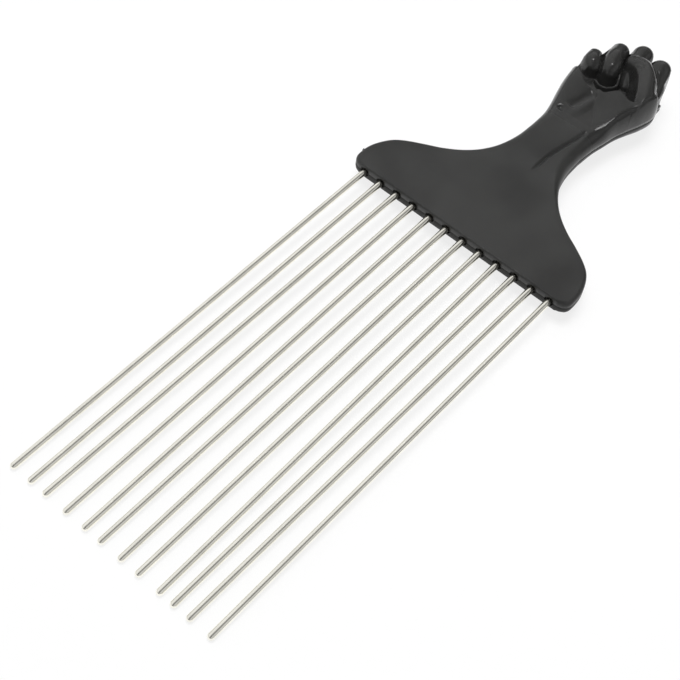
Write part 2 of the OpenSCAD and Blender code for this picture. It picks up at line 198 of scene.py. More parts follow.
# Each softbox: its name, place, width and height in metres, power as a share of the key light's, whether
# it is seen in reflections, the place that it is turned to, and the angle of its beam in degrees. The
# narrow one lights the fist alone.
SOFTBOXES = (
    ("key_softbox", (-0.06, 0, 0.7), (0.35, 0.35), 0.55, False, (0, 0.03, 0), 180),
    ("fist_softbox", (-0.05, 0.06, 0.62), (0.12, 0.12), 0.0015, True, (0, 0.072, 0), 20),
)


def length(name, default, low, high, text):
    """A size of the object, in metres, that a user can change."""
    return FloatProperty(name=name, default=default * MM, min=low * MM, max=high * MM, subtype="DISTANCE",
                         unit="LENGTH", precision=4, description=text)


def colour(name, default, text):
    """A colour of the object that a user can change."""
    return FloatVectorProperty(name=name, default=default, size=3, min=0, max=1, subtype="COLOR",
                               description=text)


class HandleSettings(bpy.types.PropertyGroup):
    plate_margin: length("Plate margin", 4.1, 3, 6, "From the outer tines to the ends of the plate")
    plate_t: length("Plate thickness", 3.8, 3, 6, "Thickness of the plate")
    plate_rim: length("Plate rim", 0.9, 0.3, 2, "Width of the rounded rim of the plate")
    mouth_rim: length("Mouth rim", 0.4, 0.1, 1, "Rounding along the edge that the tines leave")
    joint_band: length("Joint band", 0.9, 0.3, 1.2, "Upright band on each side of the joint")
    neck_w: length("Neck width", 14.4, 12, 18, "Width of the neck where it is narrowest")
    neck_t: length("Neck thickness", 7, 6, 9, "Thickness of the neck")
    neck_rim: length("Neck rim", 2.6, 1, 4, "Rounding along the sides of the neck")
    length: length("Handle length", 76, 70, 90, "From the tines' edge to the middle knuckle")
    fist_w: length("Fist width", 23.6, 20, 28, "Width of the fist across the palm")
    fist_t: length("Fist thickness", 15.6, 13, 19, "Thickness of the fist")
    fist_rim: length("Fist rim", 4.4, 3, 6, "Rounding along the sides of the fist")
    limb_rim: length("Finger rim", 3, 0.5, 8, "How far from the outline the fingers reach their height")
    valley: length("Valley radius", 0.25, 0.05, 0.6, "Radius that softens the valleys of the hand")
    crown_lift: length("Crown lift", 1.2, 0.5, 2, "Least rise of the top of the fist")
    rest_cut: length("Rest flat", 0.5, 0.2, 1, "Depth of the flat on the back of the fist")
    seam: length("Seam", 0.13, 0.02, 0.3, "Chamfer of each shell along the joint")
    ball_rise: length("Thumb ball rise", 1.35, 0.2, 2, "Height of the ball of the thumb above the palm")
    ball_edge: length("Thumb ball edge", 0.06, 0.01, 0.5, "Softening of the edges of that ball")
    dimple_r: length("Dimple radius", 1.35, 0.3, 2, "Radius of the dimple on the heel of the palm")
    dimple_depth: length("Dimple depth", 0.5, 0.1, 1, "Depth of that dimple")
    wall_slope: FloatProperty(name="Hollow wall slope", default=4, min=1, max=8,
                              description="Drop over run on the wall of the fist's hollow")
    flank_slope: FloatProperty(name="Flank slope", default=4, min=1, max=12,
                               description="Drop over run on the flanks of the fingers")
    plastic: colour("Plastic", (0.018, 0.018, 0.0174), "Colour of the moulded plastic")


class TineSettings(bpy.types.PropertyGroup):
    count: IntProperty(name="Tines", default=12, min=2, max=30, description="Number of tines")
    pitch: length("Pitch", 4.8, 4, 6, "Distance between neighbouring tines")
    diameter: length("Wire diameter", 1.6, 1.3, 1.8, "Diameter of the wire")
    reach: length("Reach", 108, 60, 140, "Length of a tine outside the handle")
    tail: length("Tail", 10, 8, 10.5, "Length of a tine inside the handle")
    key_w: length("Key width", 2.4, 2, 2.8, "Width of the flattened key")
    key_t: length("Key thickness", 1, 0.7, 1.1, "Thickness of the flattened key")
    key_len: length("Key length", 3, 2, 4, "Length of the flattened key")
    key_back: length("Key distance", 2, 1, 3, "From the end of the tail to the key")
    mouth_r: length("Mouth radius", 1.25, 1, 1.4, "Radius of the ring sunk round a tine")
    mouth_depth: length("Mouth depth", 0.5, 0.2, 1, "Depth of that ring")
    steel: colour("Plating", (0.95, 0.93, 0.85), "Colour of the bright plating")


class StageSettings(bpy.types.PropertyGroup):
    key_power: FloatProperty(name="Key light", default=6, min=0, max=20, unit="POWER",
                             description="Power of the large soft light")
    room: FloatProperty(name="Room light", default=0.9, min=0, max=3,
                        description="Strength of the room's light")
    table: colour("Table", (0.19, 0.19, 0.19), "Colour of the table")


def smooth(t):
    s = np.clip(t, 0, 1)
    return s * s * (3 - 2 * s)


def mix(a, b, t):
    return a + (b - a) * t


def quarter(t):
    """Height of a quarter circle that starts upright at 0 and ends level at 1."""
    return np.sqrt(np.maximum(0, 1 - (1 - np.clip(t, 0, 1)) ** 2))


def curve(table, x, column=1):
    """A smooth curve through the rows of a table whose first column is the place to look up."""
    rows = np.array(table, float)
    place, value = rows[:, 0], rows[:, column]
    before = np.maximum(np.arange(len(place)) - 1, 0)
    after = np.minimum(np.arange(len(place)) + 1, len(place) - 1)
    slope = (value[after] - value[before]) / (place[after] - place[before])
    i = np.clip(np.searchsorted(place, x) - 1, 0, len(place) - 2)
    run = place[i + 1] - place[i]
    t = np.clip((x - place[i]) / run, 0, 1)
    return (value[i] * (2 * t**3 - 3 * t**2 + 1) + slope[i] * run * (t**3 - 2 * t**2 + t)
            + value[i + 1] * (3 * t**2 - 2 * t**3) + slope[i + 1] * run * (t**3 - t**2))


class Handle:
    """The handle's outline and skin as functions of a place on the joint plane of the flat comb."""

    def __init__(self, sizes, tines):
        self.s = sizes
        self.plate_w = (tines.count - 1) * tines.pitch + 2 * sizes.plate_margin
        self.neck_share = FIST_EDGE_SHARES[0][0]
        self.cap_y = FIST_EDGE_SHARES[-1][0] * sizes.length
        self.plate_end = PLATE_EDGE_SHARES[PLATE_END_ROW][0] * sizes.length
        self.neck_start = PLATE_EDGE_SHARES[NECK_START_ROW][0] * sizes.length
        self.neck_end = self.neck_share * sizes.length
        self.half_fist = np.array((sizes.fist_w / 2, sizes.length, sizes.fist_t / 2, sizes.fist_w / 2))

    def edge(self, y, side):
        """How far the left (1) or right (2) edge of the outline is from the middle."""
        s = y / self.s.length
        neck = self.s.neck_w * NECK_SIDE_SHARES[side - 1]
        plate = mix(neck, self.plate_w, curve(PLATE_EDGE_SHARES, s, side))
        fist = mix(neck, self.s.fist_w, curve(FIST_EDGE_SHARES, s, side))
        return np.where(s < self.neck_share, plate, fist) / 2

    def top(self, x):
        """Where the outline ends over the knuckles."""
        high = np.full(np.shape(x), self.cap_y + self.s.crown_lift)
        for across, along, r in KNUCKLE_SHARES:
            d = np.abs(x - across * self.s.fist_w / 2)
            r = r * self.s.fist_w / 2
            end = along * self.s.length + np.sqrt(np.maximum(0, r * r - d * d))
            high = np.maximum(high, np.where(d < r, end, 0))
        return high

    def flare(self, y, side):
        """How many times longer than the shortest way to a slanting edge the way straight across is."""
        near = self.s.length / FLARE_STEPS
        rise = (self.edge(y + near, side) - self.edge(np.maximum(y - near, 0), side)) / (2 * near)
        return np.sqrt(1 + rise * rise)

    def from_sides(self, x, y):
        """How far a place is from the outline's left and right edges."""
        return (x + self.edge(y, 1)) / self.flare(y, 1), (self.edge(y, 2) - x) / self.flare(y, 2)

    def level(self, y, levels):
        """Height of the plate, the neck and the level part of the hand."""
        plate = mix(self.s.plate_t, self.s.neck_t,
                    smooth((y - self.plate_end) / (self.neck_start - self.plate_end))) / 2
        start = (y / self.s.length - self.neck_share) / (levels[0][0] - self.neck_share)
        fist = mix(self.s.neck_t / 2, curve(levels, y / self.s.length) * self.s.fist_t / 2, smooth(start))
        return np.where(y < self.neck_end, plate, fist)

    def rim(self, y):
        """Width of the rounding along the sides."""
        plate = mix(self.s.plate_rim, self.s.neck_rim,
                    smooth((y - self.plate_end) / (self.neck_start - self.plate_end)))
        start = (y / self.s.length - self.neck_share) / (PALM_LEVEL_SHARES[1][0] - self.neck_share)
        return np.where(y < self.neck_end, plate, mix(self.s.neck_rim, self.s.fist_rim, smooth(start)))

    def limb_top(self, x, y, limbs):
        """Height of each limb over a place. The balls of a limb are joined by a smooth curve."""
        tops = []
        for limb in limbs:
            balls = np.array(limb) * self.half_fist
            marks = np.arange(len(balls))
            steps = np.linspace(0, len(balls) - 1, (len(balls) - 1) * LIMB_STEPS + 1)
            path = np.stack([curve(np.stack((marks, balls[:, i]), 1), steps) for i in range(4)], 1)
            highest = np.full(np.shape(x), -self.s.fist_t)
            for cx, cy, cz, r in path:
                d = np.hypot(x - cx, y - cy)
                dome = cz + np.sqrt(np.maximum(0, r * r - d * d))
                flank = cz - self.s.flank_slope * (d - r)
                highest = np.maximum(highest, np.where(d < r, dome, flank))
            tops.append(highest)
        return tops

    def field(self, x, y, levels, mounds):
        """Height of the body before its sides are rounded."""
        height = self.level(y, levels)
        for across, along, wide, long, turn, rise in mounds:
            dx, dy = x - across * self.s.fist_w / 2, y - along * self.s.length
            c, s = math.cos(math.radians(turn)), math.sin(math.radians(turn))
            u = (dx * c + dy * s) / (wide * self.s.fist_w / 2)
            v = (dy * c - dx * s) / (long * self.s.length)
            height = height + rise * self.s.fist_t / 2 * (1 - smooth(np.hypot(u, v)))
        return height

    def thumb_ball(self, x, y):
        """The fleshy ball below the thumb, with a steep facet at its lower end."""
        share = self.half_fist[:2]
        low = self.s.ball_rise
        for place, slope in THUMB_BALL_PLANES:
            plane = (x - place[0] * share[0]) * slope[0] + (y - place[1] * share[1]) * slope[1]
            low = self.softened(low, plane, self.s.ball_edge)
        return -self.softened(-low, 0, self.s.ball_edge)

    def softened(self, a, b, soft):
        """The lower of two heights, with the edge between them softened."""
        gap = np.abs(a - b)
        return np.minimum(a, b) - soft * np.log1p(np.exp(-np.minimum(gap / soft, SOFT_REACH)))

    def hollowed(self, x, y, height):
        """The palm, cut off along its edge by the steep wall of the fist's hollow."""
        floor = HOLLOW_SHARE * self.s.fist_t / 2
        edge = curve(PALM_EDGE_SHARES, x / (self.s.fist_w / 2)) * self.s.length
        wall = np.maximum(floor, floor + self.s.wall_slope * (edge - y))
        return np.where(y > PALM_LEVEL_SHARES[0][0] * self.s.length,
                        self.softened(height, wall, self.s.valley / 2), height)

    def rounding(self, x, y, rim_shares):
        """How far the body has risen from its joint band at a place near its outline."""
        start, end = RIM_CHANGE_SHARES
        change = smooth((y / self.s.length - start) / (end - start))
        rims = (self.rim(y) * mix(1, share, change) for share in rim_shares)
        left, right = (quarter(run / rim) for run, rim in zip(self.from_sides(x, y), rims))
        return np.minimum(left, right) * quarter((self.top(x) - y) / self.rim(y))

    def mouth_top(self, y):
        """Greatest height near the edge that the tines leave, which is rounded."""
        drop = self.s.mouth_rim * (1 - quarter(y / self.s.mouth_rim))
        return np.where(y >= self.s.mouth_rim, self.s.fist_t, self.s.plate_t / 2 - drop)

    def skin(self, x, y, height, rim_shares, limbs):
        """Height of a shell's outside: the body with its sides rounded, and its limbs joined to it."""
        body = self.s.joint_band + (height - self.s.joint_band) * self.rounding(x, y, rim_shares)
        body = np.minimum(body, self.mouth_top(y))
        inside = np.minimum(np.minimum(*self.from_sides(x, y)), self.top(x) - y)
        cap = self.s.joint_band + self.s.fist_t / 2 * quarter(inside / self.s.limb_rim)
        parts = [body, *(np.minimum(limb, cap) for limb in self.limb_top(x, y, limbs))]
        highest = np.maximum.reduce(parts)
        valleys = np.log(sum(np.exp((part - highest) / self.s.valley) for part in parts))
        joined = highest + self.s.valley * valleys
        return np.maximum(self.s.joint_band, np.where(y < self.neck_start, body, joined))

    def palm_skin(self, x, y):
        height = self.field(x, y, PALM_LEVEL_SHARES, MOUND_SHARES) + self.thumb_ball(x, y)
        marked = self.hollowed(x, y, height) + self.lines(x, y, PALM_LINES) - self.dimple(x, y)
        skin = self.skin(x, y, marked, PALM_RIM_SHARES, FINGER_SHARES)
        return np.maximum(self.s.joint_band, skin + self.lines(x, y, FINGER_LINES))

    def back_skin(self, x, y):
        return self.skin(x, y, self.field(x, y, BACK_LEVEL_SHARES, []), BACK_RIM_SHARES, BACK_SHARES)

    def lines(self, x, y, table):
        """Height of the creases and ridges of a table over a place."""
        total = 0
        share = self.half_fist[:2]
        for rise, wide, points in table:
            line = np.array(points) * share
            nearest = np.full(np.shape(x), self.s.length)
            along = np.zeros(np.shape(x))
            for i, (a, b) in enumerate(zip(line, line[1:])):
                run = b - a
                t = np.clip(((x - a[0]) * run[0] + (y - a[1]) * run[1]) / (run @ run), 0, 1)
                d = np.hypot(x - a[0] - run[0] * t, y - a[1] - run[1] * t)
                along = np.where(d < nearest, (i + t) / (len(line) - 1), along)
                nearest = np.minimum(nearest, d)
            taper = smooth(LINE_RISE * along * (1 - along) / LINE_TAPER)
            total = total + rise * MM * taper * np.exp(-((nearest / (wide * MM)) ** 2))
        return total

    def dimple(self, x, y):
        """Depth of the small round dimple on the heel of the palm."""
        place = DIMPLE_SHARE * self.half_fist[:2]
        return self.s.dimple_depth * (1 - smooth(np.hypot(x - place[0], y - place[1]) / self.s.dimple_r))


class Lying:
    """Takes the flat comb to how it lies: on the flat on the back of the fist and on the tines' tips."""

    def __init__(self, handle, tines):
        rest_y = REST_SHARE * handle.s.length
        depth = handle.s.fist_t / 2 - handle.s.rest_cut
        r = tines.diameter / 2
        run = rest_y + tines.reach - r
        tilt = math.atan(depth / run) - math.asin(r / math.hypot(run, depth))
        top = max(along * handle.s.length + size * handle.s.fist_w / 2
                  for _, along, size in KNUCKLE_SHARES)
        lift = r + (tines.reach - r) * math.sin(tilt)
        shift = Matrix.Translation((0, (tines.reach - top) / 2, lift))
        self.matrix = shift @ Matrix.Rotation(tilt, 4, "X")


def sizes():
    """The sizes of this scene: the handle, the tines, and how the comb lies."""
    scene = bpy.context.scene
    handle = Handle(scene.pick_handle, scene.pick_tines)
    return handle, scene.pick_tines, Lying(handle, scene.pick_tines)


# Where the satin finish of the plate starts and ends its change to the polish of the fingers.
POLISH_SHARES = (0.5, 0.62)
# Roughness of the satin finish: its own, and what clouds, grain and scuffs add to it.
SATIN = (0.34, 0.1, 0.06, 0.08)
# Roughness of the polish: its own, and what clouds and scuffs add to it.
POLISH = (0.13, 0.06, 0.05)
# Roughness of the plating: its own, and what clouds and drawn lines add to it.
PLATING = (0.13, 0.06, 0.05)
# Slanting scuffs of the plastic: how many to a metre across, along and above the handle, their turn in
# radians, and the noise between which they come in.
SCUFF_SCALE = (90, 700, 300)
SCUFF_TURN = (0, 0, 0.5)
SCUFF_STEP = (0.62, 0.74)
# Lines drawn along the wire: how many to a metre across, along and above it.
DRAWN_SCALE = (2600, 40, 2600)
# Worn, paler (painted sheen) and duller shades, as shares of the plastic's and the steel's own colour.
WORN_SHARE = 1.5
WORN_LIFT = 0.004
PAINTED_SHEEN_SHARE = 1.9
DULL_SHARE = 0.82
# Where those shades show: the noise between which they come in, and how much of them clouds, scuffs, the
# sheen painted over the sink marks and drawn lines bring.
WORN_CLOUD_STEP = (0.35, 0.75)
WORN_BY_CLOUD, WORN_BY_SCUFF = 0.5, 0.3
PAINTED_SHEEN_STEP = (0.35, 0.65)
PAINTED_SHEEN_BY_SINK = 0.6
DULL_CLOUD_STEP = (0.3, 0.8)
DRAWN_STEP = (0.5, 0.8)
DULL_BY_CLOUD, DULL_BY_DRAWN = 0.6, 0.25
# How far the shallow sink marks and the grain of the plastic stand out.
SINK_DEPTH = 0.5 * MM
GRAIN_DEPTH = 0.012 * MM
BUMP_STRENGTH = 0.6
# How strongly the plastic mirrors its surroundings: 0.5 is as much as its refraction gives.
PLASTIC_SHINE = 0.34
# The colour sockets of a Mix node.
MIX_FIRST = 6
MIX_SECOND = 7
MIX_RESULT = 2


class Value:
    """A number that changes over a surface. An expression on it adds Math nodes to its material."""

    def __init__(self, graph, socket):
        self.graph = graph
        self.socket = socket

    def _math(self, operation, a, b):
        return self.graph.node("ShaderNodeMath", {"operation": operation}, {0: a, 1: b}).value()

    def __add__(self, other):
        return self._math("ADD", self, other)

    def __rsub__(self, other):
        return self._math("SUBTRACT", other, self)

    def __mul__(self, other):
        return self._math("MULTIPLY", self, other)

    __radd__ = __add__
    __rmul__ = __mul__

    def ramp(self, low, high, out_low=0.0, out_high=1.0):
        """A smooth step from out_low at low to out_high at high."""
        settings = {"interpolation_type": "SMOOTHSTEP"}
        values = {"Value": self, "From Min": low, "From Max": high, "To Min": out_low, "To Max": out_high}
        return self.graph.node("ShaderNodeMapRange", settings, values).value()


class Node:
    """A node that has been added to a material."""

    def __init__(self, graph, node):
        self.graph = graph
        self.node = node

    def value(self, output=0):
        return Value(self.graph, self.node.outputs[output])

    def __getitem__(self, output):
        return self.node.outputs[output]


class Graph:
    """The nodes of one material, or of the room's light."""

    def __init__(self, owner):
        self.owner = owner
        owner.use_nodes = True
        self.tree = owner.node_tree
        self.tree.nodes.clear()

    def node(self, kind, settings=None, values=None):
        """Adds a node, with its settings set first and then the values or links of its sockets."""
        node = self.tree.nodes.new(kind)
        for name, setting in (settings or {}).items():
            setattr(node, name, setting)
        for name, value in (values or {}).items():
            socket = node.inputs[name]
            source = value.socket if isinstance(value, Value) else value
            if isinstance(source, bpy.types.NodeSocket):
                self.tree.links.new(source, socket)
            else:
                socket.default_value = source
        return Node(self, node)

    def place(self, scale=(1, 1, 1), turn=(0, 0, 0)):
        """Object coordinates, scaled and turned."""
        where = self.node("ShaderNodeTexCoord")["Object"]
        return self.node("ShaderNodeMapping", None, {"Vector": where, "Scale": scale, "Rotation": turn})[0]

    def axes(self, coordinates="Object"):
        """The three coordinates of a place, or of a direction in the room, as values."""
        parts = self.node("ShaderNodeSeparateXYZ", None, {0: self.node("ShaderNodeTexCoord")[coordinates]})
        return parts.value(0), parts.value(1), parts.value(2)

    def noise(self, size, detail, roughness, vector=None):
        """Noise with features of a given size in metres, between 0 and 1."""
        where = vector or self.place()
        values = {"Vector": where, "Scale": 1 / size, "Detail": detail, "Roughness": roughness}
        return self.node("ShaderNodeTexNoise", None, values).value()

    def mix_colour(self, amount, a, b):
        first, second = ((*shade, 1) if isinstance(shade, tuple) else shade for shade in (a, b))
        values = {"Factor": amount, MIX_FIRST: first, MIX_SECOND: second}
        return self.node("ShaderNodeMix", {"data_type": "RGBA"}, values)[MIX_RESULT]

    def bump(self, height, distance, strength, under=None):
        values = {"Height": height, "Distance": distance, "Strength": strength}
        if under is not None:
            values["Normal"] = under
        return self.node("ShaderNodeBump", None, values)[0]

    def finish(self, **values):
        """The surface's shader, with its sockets by name, and the material's output."""
        sockets = {name.replace("_", " ").title().replace("Ior", "IOR"): value
                   for name, value in values.items()}
        shader = self.node("ShaderNodeBsdfPrincipled", None, sockets)
        self.node("ShaderNodeOutputMaterial", None, {"Surface": shader[0]})
        return self.owner


def moulded_plastic():
    """Dark moulded plastic: satin and faintly sunk on the plate, with a painted sheen that is paler over the
    sink marks, polished on the fist.
    """
    handle, _, lying = sizes()
    graph = Graph(bpy.data.materials.new("moulded_plastic"))
    along = graph.axes()[1]
    start, end = ((lying.matrix @ Vector((0, share * handle.s.length, 0))).y for share in POLISH_SHARES)
    on_fist = along.ramp(start, end)
    cloud = graph.noise(size=9 * MM, detail=3, roughness=0.55)
    grain = graph.noise(size=0.16 * MM, detail=2, roughness=0.6)
    scuffs = graph.noise(size=1, detail=4, roughness=0.6, vector=graph.place(SCUFF_SCALE, SCUFF_TURN))
    scuffed = scuffs.ramp(*SCUFF_STEP)
    sink = graph.noise(size=16 * MM, detail=1.5, roughness=0.4)
    satin = SATIN[0] + cloud * SATIN[1] + grain * SATIN[2] + scuffed * SATIN[3]
    polished = POLISH[0] + cloud * POLISH[1] + scuffed * POLISH[2]
    roughness = satin * (1 - on_fist) + polished * on_fist
    plastic = tuple(handle.s.plastic)
    worn = tuple(min(1, c * WORN_SHARE + WORN_LIFT) for c in plastic)
    pale = tuple(min(1, c * PAINTED_SHEEN_SHARE) for c in plastic)
    wear = cloud.ramp(*WORN_CLOUD_STEP) * WORN_BY_CLOUD + scuffed * WORN_BY_SCUFF
    shade = graph.mix_colour(wear, plastic, worn)
    # Painted sheen: the plate's colour is made paler over the sink marks, standing in for the light that
    # they catch.
    shade = graph.mix_colour(sink.ramp(*PAINTED_SHEEN_STEP) * PAINTED_SHEEN_BY_SINK * (1 - on_fist), shade, pale)
    low = graph.bump(sink, SINK_DEPTH, BUMP_STRENGTH)
    fine = graph.bump(grain * (1 - on_fist), GRAIN_DEPTH, BUMP_STRENGTH, low)
    return graph.finish(base_color=shade, roughness=roughness, normal=fine, ior=1.5,
                        specular_ior_level=PLASTIC_SHINE)


def plated_steel():
    """Bright plated wire, with drawn lines along it and faint clouding."""
    _, tines, _ = sizes()
    graph = Graph(bpy.data.materials.new("plated_steel"))
    drawn = graph.noise(size=1, detail=2, roughness=0.5, vector=graph.place(DRAWN_SCALE))
    cloud = graph.noise(size=5 * MM, detail=3, roughness=0.6)
    steel = tuple(tines.steel)
    dull = tuple(c * DULL_SHARE for c in steel)
    dulled = cloud.ramp(*DULL_CLOUD_STEP) * DULL_BY_CLOUD + drawn.ramp(*DRAWN_STEP) * DULL_BY_DRAWN
    shade = graph.mix_colour(dulled, steel, dull)
    roughness = PLATING[0] + cloud * PLATING[1] + drawn * PLATING[2]
    return graph.finish(base_color=shade, metallic=1, roughness=roughness)


def table_top(table):
    """A pale table that keeps the shadow and shows white to the camera and to what mirrors it."""
    graph = Graph(bpy.data.materials.new("table_top"))
    seen = graph.node("ShaderNodeLightPath")
    direct = seen.value("Is Camera Ray") * SEEN_SHARE + seen.value("Is Glossy Ray") * MIRRORED_SHARE
    grain = graph.noise(size=2 * MM, detail=2, roughness=0.5)
    matt = graph.node("ShaderNodeBsdfDiffuse", None, {"Color": (*table, 1), "Roughness": grain * 0.2})
    lit = graph.node("ShaderNodeEmission", None, {"Color": (1, 1, 1, 1), "Strength": direct})
    both = graph.node("ShaderNodeAddShader", None, {0: matt[0], 1: lit[0]})
    graph.node("ShaderNodeOutputMaterial", None, {"Surface": both[0]})
    return graph.owner


def add_piece(name, bm, material, slot, *nodes):
    """Makes a finished piece that stands for CAD nodes and rides on the one body."""
    mesh = bpy.data.meshes.new(name)
    bm.to_mesh(mesh)
    bm.free()
    mesh.materials.append(material)
    piece = bpy.data.objects.new(name, mesh)
    bpy.context.scene.collection.objects.link(piece)
    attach(piece, "root")
    if nodes:
        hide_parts(*nodes)
    return piece


def material_named(name, make):
    return bpy.data.materials.get(name) or make()


# Columns over each rim and over the skin between them, and rows over each stretch of the handle.
RIM_COLUMNS = 12
SKIN_COLUMNS = 180
MOUTH_ROWS = 6
PLATE_ROWS = 66
FIST_ROWS = 240
CROWN_ROWS = 44
# Place along the handle where the closer rows of the fist start.
WRIST_SHARE = 0.56
# The row that follows the edge of the fist's hollow: its place along the handle before it is bent, how far
# from it rows are bent with it, and what that reach is divided by for the furthest that a row moves.
EDGE_ROW_SHARE = 0.76
EDGE_REACH_SHARE = 0.1
EDGE_SHIFT_PART = 3
# The ring sunk round a tine: its sides, and the radius of its floor as a share of its own.
MOUTH_SIDES = 40
MOUTH_FLOOR_SHARE = 0.9
# The gate nib: its place along the handle, its size in millimetres, its sides, and its radius at the root,
# its radius at the tip and its length as shares of its size.
NIB_PLACE_SHARE = 0.062
NIB_SIZE = 0.5
NIB_SIDES = 16
NIB_ROOT, NIB_TIP, NIB_LONG = 0.7, 0.5, 2
# Angles in degrees from which an edge of a shell or of a wire is sharp.
SHELL_SHARP = 50
WIRE_SHARP = 40


def arc(t):
    """Even steps round a quarter circle, as shares of its radius."""
    return 1 - np.cos(np.clip(t, 0, 1) * np.pi / 2)


def row_places(handle, v):
    """Where rows of the skin lie along the handle, and how far each is towards the top of the fist."""
    wrist = WRIST_SHARE * handle.s.length
    marks = np.cumsum([0, MOUTH_ROWS, PLATE_ROWS, FIST_ROWS])
    mouth = handle.s.mouth_rim * arc(v / MOUTH_ROWS)
    plate = mix(handle.s.mouth_rim, wrist, (v - marks[1]) / PLATE_ROWS)
    fist = mix(wrist, handle.cap_y, np.clip((v - marks[2]) / FIST_ROWS, 0, 1))
    y = np.select([v <= marks[1], v <= marks[2]], [mouth, plate], fist)
    return y, np.clip((v - marks[3]) / CROWN_ROWS, 0, 1)


def column_places(handle, u, y):
    """Where columns of the skin lie across the handle: closer together over the rounded rims."""
    left, right = -handle.edge(y, 1), handle.edge(y, 2)
    rim = handle.rim(y)
    left_rim, right_rim = rim * handle.flare(y, 1), rim * handle.flare(y, 2)
    back = RIM_COLUMNS * 2 + SKIN_COLUMNS - u
    middle = mix(left + left_rim, right - right_rim, (u - RIM_COLUMNS) / SKIN_COLUMNS)
    return np.where(u < RIM_COLUMNS, left + left_rim * arc(u / RIM_COLUMNS),
                    np.where(back < RIM_COLUMNS, right - right_rim * arc(back / RIM_COLUMNS), middle))


def along_edge(handle, x, y):
    """Bends the rows of the palm so that one of them follows the edge of the hollow."""
    nominal = EDGE_ROW_SHARE * handle.s.length
    reach = EDGE_REACH_SHARE * handle.s.length
    side = np.minimum(x + handle.edge(y, 1), handle.edge(y, 2) - x)
    pull = smooth(1 - np.abs(y - nominal) / reach) * smooth(side / handle.s.joint_band)
    shift = curve(PALM_EDGE_SHARES, x / (handle.s.fist_w / 2)) * handle.s.length - nominal
    return y + np.minimum(shift, reach / EDGE_SHIFT_PART) * pull


def of_kind(items, kind):
    """The vertices or the edges among the results of an operator."""
    return [item for item in items if isinstance(item, kind)]


def border(edges):
    return [edge for edge in edges if edge.is_boundary]


def smooth_outward(bm):
    """Turns a closed mesh's faces outwards and shades them smoothly."""
    bmesh.ops.recalc_face_normals(bm, faces=bm.faces)
    for face in bm.faces:
        face.smooth = True


def shell_mesh(handle, lying, skin, side):
    """A closed shell: a grid raised to the skin, with walls down to the joint and a face across it. The
    side is 1 for the palm's and -1 for the back's."""
    columns = 2 * RIM_COLUMNS + SKIN_COLUMNS
    rows = MOUTH_ROWS + PLATE_ROWS + FIST_ROWS + CROWN_ROWS
    bm = bmesh.new()
    bmesh.ops.create_grid(bm, x_segments=columns, y_segments=rows, size=0.5)
    flat = np.array([v.co for v in bm.verts])
    u = np.round((flat[:, 0] + 0.5) * columns)
    v = np.round((flat[:, 1] + 0.5) * rows)
    y, crown = row_places(handle, v)
    x = column_places(handle, u, y)
    if side > 0:
        y = along_edge(handle, x, y)
    y = mix(y, handle.top(x), crown)
    z = skin(x, y)
    for vert, place in zip(bm.verts, np.stack((x, y, z), 1)):
        vert.co = place
    walls = bmesh.ops.extrude_edge_only(bm, edges=border(bm.edges))["geom"]
    for vert in of_kind(walls, bmesh.types.BMVert):
        vert.co.z = handle.s.seam
    rim = border(of_kind(walls, bmesh.types.BMEdge))
    chamfer = bmesh.ops.extrude_edge_only(bm, edges=rim)["geom"]
    middle = Vector((0, handle.cap_y / 2, 0))
    for vert in of_kind(chamfer, bmesh.types.BMVert):
        on_side = MM < vert.co.y < handle.cap_y
        inward = (Vector((-vert.co.x, 0, 0)) if on_side else middle - vert.co).normalized()
        vert.co = Vector((vert.co.x, vert.co.y, 0)) + Vector((inward.x, inward.y, 0)) * handle.s.seam
    bmesh.ops.edgeloop_fill(bm, edges=border(of_kind(chamfer, bmesh.types.BMEdge)))
    if side < 0:
        bmesh.ops.scale(bm, vec=(1, 1, -1), verts=bm.verts)
    bmesh.ops.transform(bm, matrix=lying.matrix, verts=bm.verts)
    for vert in bm.verts:
        vert.co.z = max(vert.co.z, 0)
    smooth_outward(bm)
    return bm


def sharpen(piece, degrees):
    piece.data.set_sharp_from_angle(angle=math.radians(degrees))


def root_place(tines, index):
    """Where a tine leaves the handle of the flat comb."""
    return Matrix.Translation(((index - (tines.count - 1) / 2) * tines.pitch, 0, 0))


def mouth_cutter(tines, lying):
    """Round blanks that sink a ring round each tine where it leaves the handle."""
    bm = bmesh.new()
    depth = tines.mouth_depth
    for index in range(tines.count):
        place = lying.matrix @ root_place(tines, index) @ Matrix.Rotation(math.pi / 2, 4, "X")
        bmesh.ops.create_cone(bm, cap_ends=True, segments=MOUTH_SIDES, depth=2 * depth, matrix=place,
                              radius1=tines.mouth_r * MOUTH_FLOOR_SHARE,
                              radius2=tines.mouth_r * (2 - MOUTH_FLOOR_SHARE))
    mesh = bpy.data.meshes.new("mouths")
    bm.to_mesh(mesh)
    bm.free()
    cutter = bpy.data.objects.new("mouths", mesh)
    bpy.context.scene.collection.objects.link(cutter)
    return cutter


def cut(piece, cutter):
    """Cuts one mesh out of a piece, and removes the cutter."""
    modifier = piece.modifiers.new("cut", "BOOLEAN")
    modifier.object = cutter
    modifier.operation = "DIFFERENCE"
    modifier.solver = "EXACT"
    done = bpy.data.meshes.new_from_object(piece.evaluated_get(bpy.context.evaluated_depsgraph_get()))
    piece.modifiers.clear()
    old = piece.data
    piece.data = done
    bpy.data.meshes.remove(old)
    done.name = piece.name
    bpy.data.objects.remove(cutter)


def gate_nib(handle, lying, bm):
    """The stub that is left where the shell was cut from its runner."""
    y = NIB_PLACE_SHARE * handle.s.length
    x = -float(handle.edge(np.array(y), 1))
    at = Matrix.Translation((x, y, handle.s.joint_band / 2)) @ Matrix.Rotation(math.pi / 2, 4, "Y")
    size = NIB_SIZE * MM
    bmesh.ops.create_cone(bm, cap_ends=True, segments=NIB_SIDES, radius1=size * NIB_ROOT,
                          radius2=size * NIB_TIP, depth=size * NIB_LONG, matrix=lying.matrix @ at)


